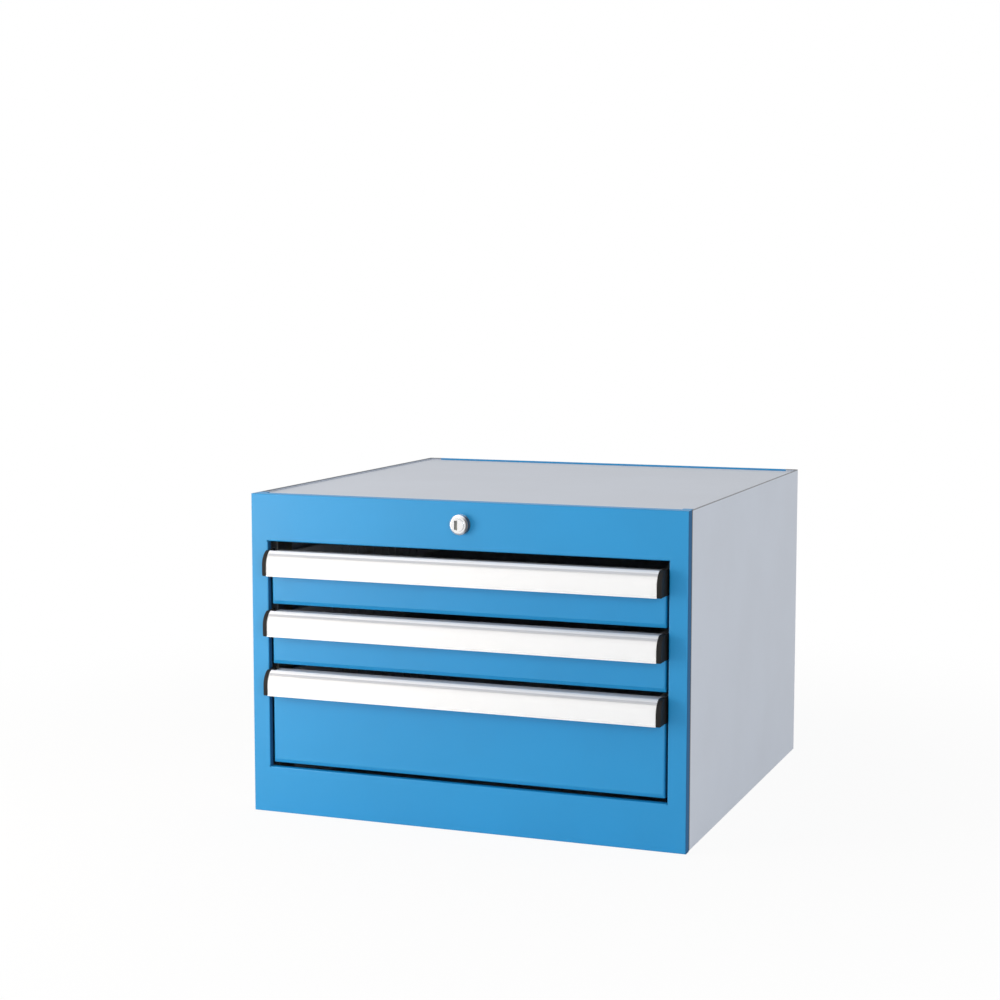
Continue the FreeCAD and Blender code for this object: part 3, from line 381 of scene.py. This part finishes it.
# %% Plated and rolled steel
def zinc_plate(name, warm, cool, roughness, stretch=(1, 1, 1)):
    """Zinc-plated steel whose grain can be drawn out along an axis."""
    tree = new_finish(name)
    tint = noise(tree, scale=26, detail=2)
    lines = noise(tree, scale=900, detail=2, stretch=stretch)
    stain = noise(tree, scale=140, detail=2)
    surface(tree, Base_Color=tint.between(0.35, 0.65).blend(seen(*warm), seen(*cool)), Metallic=1.0,
            Roughness=roughness + 0.12 * (lines - 0.5) + 0.10 * (stain - 0.5),
            Normal=bump(tree, lines, depth=0.00001))


zinc_plate("zinc_steel", (205, 203, 192), (196, 202, 208), roughness=0.38)
zinc_plate("slide_steel", (204, 205, 204), (198, 203, 209), roughness=0.30, stretch=(1, 0.02, 1))
zinc_plate("cage_steel", (203, 196, 178), (206, 204, 198), roughness=0.24, stretch=(1, 0.05, 1))
print("plated steel:", *[name for name in FINISHES if name.endswith("_steel")])

# %% [markdown]
# ## White handle, card and clear cover
# The handle is an aluminium section with a white coat that is smoother than the cabinet's paint. In its
# seat lies a paper card under a clear plastic strip. The card is nearly white with a fibre you only see
# close up. Both whites are a trace cool, which evens out the slightly warm softbox. The cover takes little
# light away, so it is mostly transparent and keeps its gloss.

# %% Coated aluminium
tree = new_finish("handle_white")
cloud = noise(tree, scale=12, detail=2)
drawn_lines = noise(tree, scale=800, detail=1, stretch=(0.15, 1, 1))
surface(tree, Base_Color=cloud.blend(seen(243, 245, 248), seen(248, 250, 253)),
        Roughness=0.33 + 0.05 * (cloud - 0.5), IOR=1.5, Normal=bump(tree, drawn_lines, depth=0.000012))
print("handle coat ready")

# %% Paper card
tree = new_finish("label_card")
fibre = noise(tree, scale=1800, detail=4, stretch=(0.4, 1, 1))
surface(tree, Base_Color=fibre.between(0.25, 0.75).blend(seen(243, 246, 249), seen(248, 251, 254)),
        Roughness=0.75 + 0.10 * (fibre - 0.5), Specular_IOR_Level=0.35,
        Normal=bump(tree, fibre, depth=0.00002))
print("card ready")

# %% Clear cover
tree = new_finish("clear_cover")
wave = noise(tree, scale=30, detail=1, stretch=(0.3, 1, 1))
surface(tree, Base_Color=wave.blend(seen(250, 251, 252), WHITE), Roughness=0.10 + 0.06 * wave, IOR=1.49,
        Alpha=0.16 + 0.03 * wave, Normal=bump(tree, wave, depth=0.0001))
print("cover ready")

# %% [markdown]
# ## Plastics and rubber
# The end caps are moulded in a tool with a finely etched face, which gives a matt grain with a soft shine
# on the rounded edges. The guides of the locking bar are a slippery plastic with a smooth face, and the
# bumpers are plain rubber with a dusty bloom.

# %% Moulded black finishes
BLOOM = seen(120, 118, 115)


def moulded(name, colour, roughness, grain, depth, bloom=0.0):
    """A moulded plastic or rubber with an etched grain and an optional pale bloom."""
    tree = new_finish(name)
    etched = noise(tree, scale=grain, detail=2)
    dust = noise(tree, scale=60, detail=3).between(0.4, 0.8)
    surface(tree, Base_Color=(bloom * dust).blend(seen(*colour), BLOOM),
            Roughness=roughness + 0.14 * (etched - 0.5), IOR=1.5, Specular_IOR_Level=0.25,
            Normal=bump(tree, etched, depth))


moulded("black_plastic", (20, 19, 18), roughness=0.64, grain=1500, depth=0.00004)
moulded("guide_plastic", (38, 38, 39), roughness=0.30, grain=700, depth=0.00001)
moulded("rubber", (36, 35, 34), roughness=0.78, grain=1100, depth=0.00003, bloom=0.12)
print("plastics:", *list(FINISHES)[-3:])

# %% [markdown]
# ## The lock's chrome
# The lock is turned on a lathe and plated with satin chrome. A lathe leaves fine rings about the axis, so
# the finish measures the distance from the lock's axis and makes the rings from that alone. Chrome shows
# what it faces, which in a real studio is dark in places. This one is white all round, so shade is painted
# on the walls of the key slot and a dark reflection on the right-hand side of the drum, in a darker metal
# colour. Each is found by that distance and by the way it faces.

# %% Turned satin chrome
FRONT = (0, -1, 0)
LOCK_LEVEL = 0.373
SLOT_WALLS = (0.0068, 0.0062)    # from none to full, going inwards from the lock's axis
DRUM_SIDE = (0.0078, 0.0086)     # from none to full, going outwards

tree = new_finish("lock_metal")
radius = Signal.node(tree, "ShaderNodeVectorMath", {"operation": "MULTIPLY_ADD"},
                     {0: place(tree), 1: (1, 0, 1), 2: (0, 0, -LOCK_LEVEL)}).length()
rings = Signal.node(tree, "ShaderNodeTexNoise", {"noise_dimensions": "1D"},
                    {"W": radius, "Scale": 3500, "Detail": 1})
# painted shade on the key slot's walls, and a painted dark reflection on the drum's right-hand side
painted_slot_shade = radius.between(*SLOT_WALLS) * facing(tree).towards(FRONT).between(0.9, 0.55)
painted_drum_reflection = radius.between(*DRUM_SIDE) * facing(tree).towards(RIGHT).between(0.3, 0.65)
bright = rings.blend(seen(226, 227, 229), seen(240, 240, 240))
surface(tree, Base_Color=(painted_slot_shade + painted_drum_reflection).blend(bright, seen(104, 105, 109)), Metallic=1.0,
        Roughness=0.24 + 0.10 * (rings - 0.5), Normal=bump(tree, rings, depth=0.000006))
print(len(FINISHES), "finishes")

# %% [markdown]
# ## Giving each sheet and rail its finish
# The record names the finish of every node. The nodes keep their meshes, and only their material slots are
# filled. No cut or folded edge of real sheet is a knife edge, so a Weld modifier joins the faces again and
# a Bevel modifier rounds the edges by a quarter of a millimetre, which catches a thin line of light. Small
# pieces that are replaced or hardly seen keep their edges.

# %% Finish and soften the nodes
JOIN_DISTANCE = 0.000002
EDGE_WIDTH = 0.00025
EDGE_SEGMENTS = 2
EDGE_ANGLE = 35
NOT_SOFTENED = ("_cages", "_fasteners", "_label", "_label_cover", "_screws")


def soften(node):
    """Round a node's sharp edges."""
    weld = node.modifiers.new("join_faces", "WELD")
    weld.merge_threshold = JOIN_DISTANCE
    round_edges = node.modifiers.new("round_edges", "BEVEL")
    round_edges.width = EDGE_WIDTH
    round_edges.segments = EDGE_SEGMENTS
    round_edges.limit_method = "ANGLE"
    round_edges.angle_limit = math.radians(EDGE_ANGLE)
    round_edges.use_clamp_overlap = True
    round_edges.harden_normals = True


for row in frame["record"]["subparts"]:
    node = nodes[row["node"]]
    node.data.materials.clear()
    node.data.materials.append(FINISHES[row["material_slot"]])
    if not row["node"].endswith(NOT_SOFTENED):
        soften(node)

# %% [markdown]
# ## Building pieces from outlines
# Most small pieces of a cabinet are either turned, such as a rivet, or cut from a profile, such as a
# moulded cap. A turned piece is an outline of places along its axis and radii, spun round that axis. A
# piece with a profile is a row of rings with as many points each, joined by faces. The helpers below make
# such meshes point by point, which keeps each size in plain sight.

# %% Helpers for new pieces
def add_piece(name, mesh, finish, body, smooth_below=40):
    """Turn a bmesh into an object with a finish that rides on a body of the frame."""
    bmesh.ops.recalc_face_normals(mesh, faces=mesh.faces)
    for face in mesh.faces:
        face.smooth = True
    for edge in mesh.edges:
        edge.smooth = len(edge.link_faces) == 2 and edge.calc_face_angle() < math.radians(smooth_below)
    data = bpy.data.meshes.new(name)
    mesh.to_mesh(data)
    mesh.free()
    piece = bpy.data.objects.new(name, data)
    bpy.context.scene.collection.objects.link(piece)
    data.materials.append(FINISHES[finish])
    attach(piece, body)
    return piece


def aim(point, direction):
    """A placement whose own Z axis leaves the point in the direction."""
    return Matrix.Translation(point) @ Vector(direction).to_track_quat("Z", "Y").to_matrix().to_4x4()


def circle(mesh, placement, along, radius, sides):
    """Points round the placement's Z axis at one place along it, or one point where the radius is 0."""
    turns = [math.tau * step / sides for step in range(sides if radius else 1)]
    return [mesh.verts.new(placement @ Vector((radius * math.cos(turn), radius * math.sin(turn), along)))
            for turn in turns]


def spin(mesh, outline, placement, sides=28):
    """Add a turned solid from (along, radius) pairs about the placement's Z axis."""
    rows = [circle(mesh, placement, along, radius, sides) for along, radius in outline]
    for lower, upper in zip(rows, rows[1:]):
        for step in range(sides):
            corners = dict.fromkeys((lower[step % len(lower)], lower[(step + 1) % len(lower)],
                                     upper[(step + 1) % len(upper)], upper[step % len(upper)]))
            if len(corners) > 2:
                mesh.faces.new(list(corners))


def join_rings(mesh, first, second):
    """Add the faces between two rings with as many points."""
    for i in range(len(first)):
        mesh.faces.new((first[i - 1], first[i], second[i], second[i - 1]))


print("piece helpers ready")

# %% [markdown]
# ## Finding the fasteners
# The frame knows where every rivet and screw sits, so nothing is measured twice: each separate solid of a
# fastener node is found by walking from point to joined point, and its box gives its ends. A fastener is
# widest at its head, which tells which end that is.

# %% Read the fasteners of a node
SAME_POINT = 0.000001
SAME_LEVEL = 0.00001


def separate_solids(node):
    """The points of every separate solid in a node."""
    shell = bmesh.new()
    shell.from_mesh(node.data)
    bmesh.ops.remove_doubles(shell, verts=shell.verts, dist=SAME_POINT)
    waiting = dict.fromkeys(shell.verts)    # unlike a set it keeps its order, so each run gives the same mesh
    solids = []
    while waiting:
        reached = [waiting.popitem()[0]]
        for vertex in reached:
            for edge in vertex.link_edges:
                other = edge.other_vert(vertex)
                if other in waiting:
                    del waiting[other]
                    reached.append(other)
        solids.append([vertex.co.copy() for vertex in reached])
    shell.free()
    return solids


def fastener(points, axis):
    """Middle of the head's outer face, the direction from head to tip, and the length."""
    low = Vector([min(point[i] for point in points) for i in range(3)])
    high = Vector([max(point[i] for point in points) for i in range(3)])
    middle = (low + high) / 2

    def widest(level):
        flat = [point - middle for point in points if abs(point[axis] - level) < SAME_LEVEL]
        return max(math.hypot(*(offset[i] for i in range(3) if i != axis)) for offset in flat)

    head_low = widest(low[axis]) > widest(high[axis])
    head = middle.copy()
    head[axis] = low[axis] if head_low else high[axis]
    inward = Vector([0, 0, 0])
    inward[axis] = 1 if head_low else -1
    return head, inward, high[axis] - low[axis]


print(len(separate_solids(nodes["drawer_1_fasteners"])), "rivets in a drawer")

# %% [markdown]
# ## Rivets
# A drawer is held together by blind rivets. Each has a low domed head with the hole of its pulled stem in
# the middle, and on the far side the tube has rolled out into a small collar. Both ends are one turned
# outline here, and the drawer's twenty rivets are one mesh that replaces the plain ones. A rivet is shorter
# than it is wide, which gives its axis.

# %% Make the rivets
RIVET_HEAD = 0.0035
RIVET_HEAD_DEPTH = 0.0008
RIVET_SHANK = 0.002
RIVET_DOME = ((0.0005, 0), (0.0005, 0.0008), (0.0001, 0.0010), (0, 0.0012), (0.0001, 0.0022),
              (0.0004, 0.0031))
RIVET_COLLAR = ((0, 0.0027), (0.0003, 0.0024), (0.0004, 0.0015), (0.0001, 0.0010), (0.0001, 0))


def rivet_outline(length):
    """Places along the axis and radii, from the hole in the head to the rolled collar."""
    return [*RIVET_DOME, (RIVET_HEAD_DEPTH, RIVET_HEAD), (RIVET_HEAD_DEPTH, RIVET_SHANK),
            (length, RIVET_SHANK), *((length + beyond, radius) for beyond, radius in RIVET_COLLAR)]


for number in (1, 2, 3):
    mesh = bmesh.new()
    for points in separate_solids(nodes[f"drawer_{number}_fasteners"]):
        spans = [max(p[i] for p in points) - min(p[i] for p in points) for i in range(3)]
        head, inward, length = fastener(points, spans.index(min(spans)))
        spin(mesh, rivet_outline(length), aim(head, inward))
    rivets = add_piece(f"drawer_{number}_rivets", mesh, "zinc_steel", f"drawer_{number}")
    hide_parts(f"drawer_{number}_fasteners")
    print(rivets.name, len(rivets.data.polygons), "faces")

# %% [markdown]
# ## Cross-recess screws
# The slides, the back and the base are held by countersunk screws. What makes one read as a screw is the
# cross in its head. A boolean cut would leave untidy triangles, so the head's face is filled between its
# round edge and the outline of a cross, and the cross is walled down to a smaller one.

# %% A screw with a cross in its head
SHEET = 0.0012                     # the head's cone is as deep as the sheet is thick
SCREW_HEAD = 0.004
SCREW_SIDES = 32
HEAD_SUNK = 0.00005
CROSS_MOUTH = (0.0024, 0.00055)    # reach and half width of an arm at the head's face
CROSS_FLOOR = (0.0014, 0.0003)     # the same at the bottom of the cross
CROSS_DEPTH = 0.0013
TIP_LENGTH = 0.001
TIP_SHARE = 0.6


def cross_outline(reach, arm):
    """The twelve corners of a cross."""
    quarter = [(reach, -arm), (reach, arm), (arm, arm)]
    corners = []
    for turn in range(4):
        for x, y in quarter:
            for _ in range(turn):
                x, y = -y, x
            corners.append((x, y))
    return corners


def cross_screw(mesh, placement, length, shank):
    """Add a countersunk screw with a tapered cross in its head."""
    rim = circle(mesh, placement, HEAD_SUNK, SCREW_HEAD, SCREW_SIDES)
    mouth, bottom = [[mesh.verts.new(placement @ Vector((x, y, depth))) for x, y in cross_outline(*arms)]
                     for arms, depth in ((CROSS_MOUTH, HEAD_SUNK), (CROSS_FLOOR, CROSS_DEPTH))]
    edges = [mesh.edges.new((ring[i - 1], ring[i])) for ring in (rim, mouth) for i in range(len(ring))]
    bmesh.ops.triangle_fill(mesh, use_beauty=True, use_dissolve=False, edges=edges)
    join_rings(mesh, mouth, bottom)
    mesh.faces.new(bottom)
    spin(mesh, [(HEAD_SUNK, SCREW_HEAD), (SHEET, shank), (length - TIP_LENGTH, shank),
                (length, shank * TIP_SHARE), (length, 0)], placement, sides=SCREW_SIDES)


print("screw head", 2000 * SCREW_HEAD, "mm across")

# %% Make the screws
RAIL_SHANK = 0.0024
PANEL_SHANK = 0.002
BASE_LEVEL = 0.01    # panel screws wholly below this hold the base and stand upright

mesh = bmesh.new()
for points in separate_solids(nodes["rail_screws"]):
    head, inward, length = fastener(points, 0)
    cross_screw(mesh, aim(head, inward), length, RAIL_SHANK)
rail_screws = add_piece("rail_cross_screws", mesh, "zinc_steel", "housing", smooth_below=30)
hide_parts("rail_screws")

mesh = bmesh.new()
for points in separate_solids(nodes["panel_screws"]):
    axis = 2 if max(point.z for point in points) < BASE_LEVEL else 1
    head, inward, length = fastener(points, axis)
    cross_screw(mesh, aim(head, inward), length, PANEL_SHANK)
panel_screws = add_piece("panel_cross_screws", mesh, "zinc_steel", "housing", smooth_below=30)
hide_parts("panel_screws")
print("screws:", len(rail_screws.data.polygons) + len(panel_screws.data.polygons), "faces")

# %% [markdown]
# ## Moulded end caps
# Each handle strip is closed by a black cap at either end. It follows the curve of the hood, and like any
# moulded piece it has no sharp outer edge: the rim is rounded by more than a millimetre and the cheek is
# sunk a little inside it. A Bevel modifier could round the rim but not sink the cheek, so the side profile
# is drawn once and repeated as rings that step inwards. A thin tongue behind the cap reaches back beside
# the drawer's front.

# %% Draw the side profile of a cap
HOOD_RADIUS = 0.019
HOOD_DROP = 0.0173       # from the handle's top down to the centre of the hood's curve
HOOD_STEPS = 12
CAP_CORNER = 0.0016      # radius of the lower front corner
CORNER_STEPS = 4


def hood_profile(low, high, front, back, inset=0.0):
    """Corners of the cap's side view as (y, z), from the bottom at the back round the front to the top."""
    axis_y, axis_z = front + HOOD_RADIUS, high - HOOD_DROP
    radius = HOOD_RADIUS - inset
    outline = [(back - inset, low + inset)]
    for step in range(CORNER_STEPS + 1):
        turn = math.radians(270 - 90 * step / CORNER_STEPS)
        outline.append((front + inset + CAP_CORNER * (1 + math.cos(turn)),
                        low + inset + CAP_CORNER * (1 + math.sin(turn))))
    last = math.asin((HOOD_DROP - inset) / radius)
    for step in range(HOOD_STEPS + 1):
        turn = math.pi - last * step / HOOD_STEPS
        outline.append((axis_y + radius * math.cos(turn), axis_z + radius * math.sin(turn)))
    outline.append((back - inset, high - inset))
    return outline


def ring_at(mesh, outline, x):
    """The points of an outline of (y, z) pairs at one width."""
    return [mesh.verts.new((x, y, z)) for y, z in outline]


print("hood", 1000 * HOOD_RADIUS, "mm in radius")

# %% Make the end caps
CAP_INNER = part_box("drawer_1_handle")[1].x
CAP_RIM = ((0.0, 0.0013), (0.0001, 0.0008), (0.00045, 0.00025), (0.0010, 0.0), (0.0018, 0.0),
           (0.0021, 0.0003))   # how far each ring lies inside the outline and inside the outer face
FRONT_CLEARANCE = 0.00025
TONGUE_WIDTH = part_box("drawer_1_handle_caps")[1].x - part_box("drawer_1_front")[1].x - FRONT_CLEARANCE
TONGUE_REACH = 0.010      # how far the tongue reaches behind the cap
TONGUE_ROOT = 0.001       # how far it starts inside the cap
TONGUE_STRAIGHT = 0.0085  # where its corners begin to taper
TONGUE_TAPER = 0.0015
TONGUE_SUNK = 0.0001


def end_cap(mesh, box_low, box_high, side):
    """Add a cap on one side: inner face, rounded rim, sunk cheek and tongue."""
    outer = box_high.x
    front, low, high = box_low.y, box_low.z, box_high.z
    back = box_high.y - TONGUE_REACH
    rings = [ring_at(mesh, hood_profile(low, high, front, back), side * CAP_INNER)]
    mesh.faces.new(rings[0])
    for inset, drop in CAP_RIM:
        rings.append(ring_at(mesh, hood_profile(low, high, front, back, inset), side * (outer - drop)))
        join_rings(mesh, rings[-2], rings[-1])
    mesh.faces.new(rings[-1])
    corners = [(back - TONGUE_ROOT, low), (back + TONGUE_STRAIGHT, low),
               (box_high.y, low + TONGUE_TAPER), (box_high.y, high - TONGUE_TAPER),
               (back + TONGUE_STRAIGHT, high), (back - TONGUE_ROOT, high)]
    near = ring_at(mesh, corners, side * (outer - TONGUE_WIDTH))
    far = ring_at(mesh, corners, side * (outer - TONGUE_SUNK))
    mesh.faces.new(near)
    mesh.faces.new(far)
    join_rings(mesh, near, far)


for number in (1, 2, 3):
    mesh = bmesh.new()
    for side in (-1, 1):
        end_cap(mesh, *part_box(f"drawer_{number}_handle_caps"), side)
    caps = add_piece(f"drawer_{number}_end_caps", mesh, "black_plastic", f"drawer_{number}", smooth_below=50)
    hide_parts(f"drawer_{number}_handle_caps")
    print(caps.name, len(caps.data.polygons), "faces")

# %% [markdown]
# ## Shade strips under the handles' lips
# The card is changed through a slit under the handle's lip. A thin grey strip lies over that slit and the
# upper edge of the clear cover as painted shade: it stands for the lip's shadow and shows as a fine line
# along each handle. It bends with the hood, so its side view is a narrow arc between two levels below the
# handle's top, a few hundredths of a millimetre thick. A line in the material would have no edge to catch
# the light, so it is a piece of its own.

# %% Make the shade strips
SHADE_STRIP_LEVELS = (0.0031, 0.0056)    # below the handle's top
SHADE_STRIP_FACES = (0.00004, 0.000005)  # the strip's outer and inner face, above the hood
SHADE_STRIP_STEPS = 6
SHADE_STRIP_END_GAP = 0.0002


def shade_strip_profile(front, top):
    """Corners of the strip's side view as (y, z), up its outer face and down its inner one."""
    outline = []
    for height, (start, end) in zip(SHADE_STRIP_FACES, (SHADE_STRIP_LEVELS[::-1], SHADE_STRIP_LEVELS)):
        for step in range(SHADE_STRIP_STEPS + 1):
            below = start + (end - start) * step / SHADE_STRIP_STEPS
            reach = math.sqrt((HOOD_RADIUS + height) ** 2 - (HOOD_DROP - below) ** 2)
            outline.append((front + HOOD_RADIUS - reach, top - below))
    return outline


# painted shade: a grey strip put where the lip's shadow falls on each label
for number in (1, 2, 3):
    handle_low, handle_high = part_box(f"drawer_{number}_handle")
    mesh = bmesh.new()
    ends = [ring_at(mesh, shade_strip_profile(handle_low.y, handle_high.z), side * (CAP_INNER - SHADE_STRIP_END_GAP))
            for side in (-1, 1)]
    join_rings(mesh, *ends)
    for end in ends:
        mesh.faces.new(end)
    shade_piece = add_piece(f"drawer_{number}_label_shade_strip", mesh, "tray_paint", f"drawer_{number}")
    print(shade_piece.name, len(shade_piece.data.polygons), "faces")

# %% [markdown]
# ## Inside the keyway
# A key slot is not an empty pocket. A few millimetres in, a sprung shutter closes it, with a narrow step
# that matches the key. A small stepped plate inside the slot of the plug gives the dark line a depth that
# changes as the light moves, and it turns with the plug.

# %% Make the keyway's shutter
SLOT_LEFT = -0.004
STEP_LEFT = -0.0027
STEP_RIGHT = -0.0012
SLOT_RIGHT = 0.0
SLOT_REACH = 0.00575     # above and below the lock's axis
SLOT_DEPTH = 0.006
SHUTTER_EDGE = 0.00012
SHUTTER_STEPS = (        # left, right, depth behind the plug's face, top above the axis
    (SLOT_LEFT, STEP_LEFT, 0.0034, SLOT_REACH),
    (STEP_RIGHT, SLOT_RIGHT, 0.0026, 0.0012),
    (STEP_LEFT, STEP_RIGHT, 0.0046, SLOT_REACH))


def brick(mesh, low, high):
    """Add a box between two corners."""
    made = bmesh.ops.create_cube(mesh, size=1)
    for vertex in made["verts"]:
        vertex.co = Vector([low[i] + (vertex.co[i] + 0.5) * (high[i] - low[i]) for i in range(3)])


plug_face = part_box("lock_plug")[0].y
mesh = bmesh.new()
for left, right, depth, top in SHUTTER_STEPS:
    brick(mesh, (left, plug_face + depth, LOCK_LEVEL - SLOT_REACH),
          (right, plug_face + SLOT_DEPTH, LOCK_LEVEL + top))
bmesh.ops.bevel(mesh, geom=list(mesh.edges), offset=SHUTTER_EDGE, segments=2, affect="EDGES")
shutter = add_piece("lock_keyway_shutter", mesh, "zinc_steel", "lock_cylinder")
print(shutter.name, len(shutter.data.polygons), "faces")
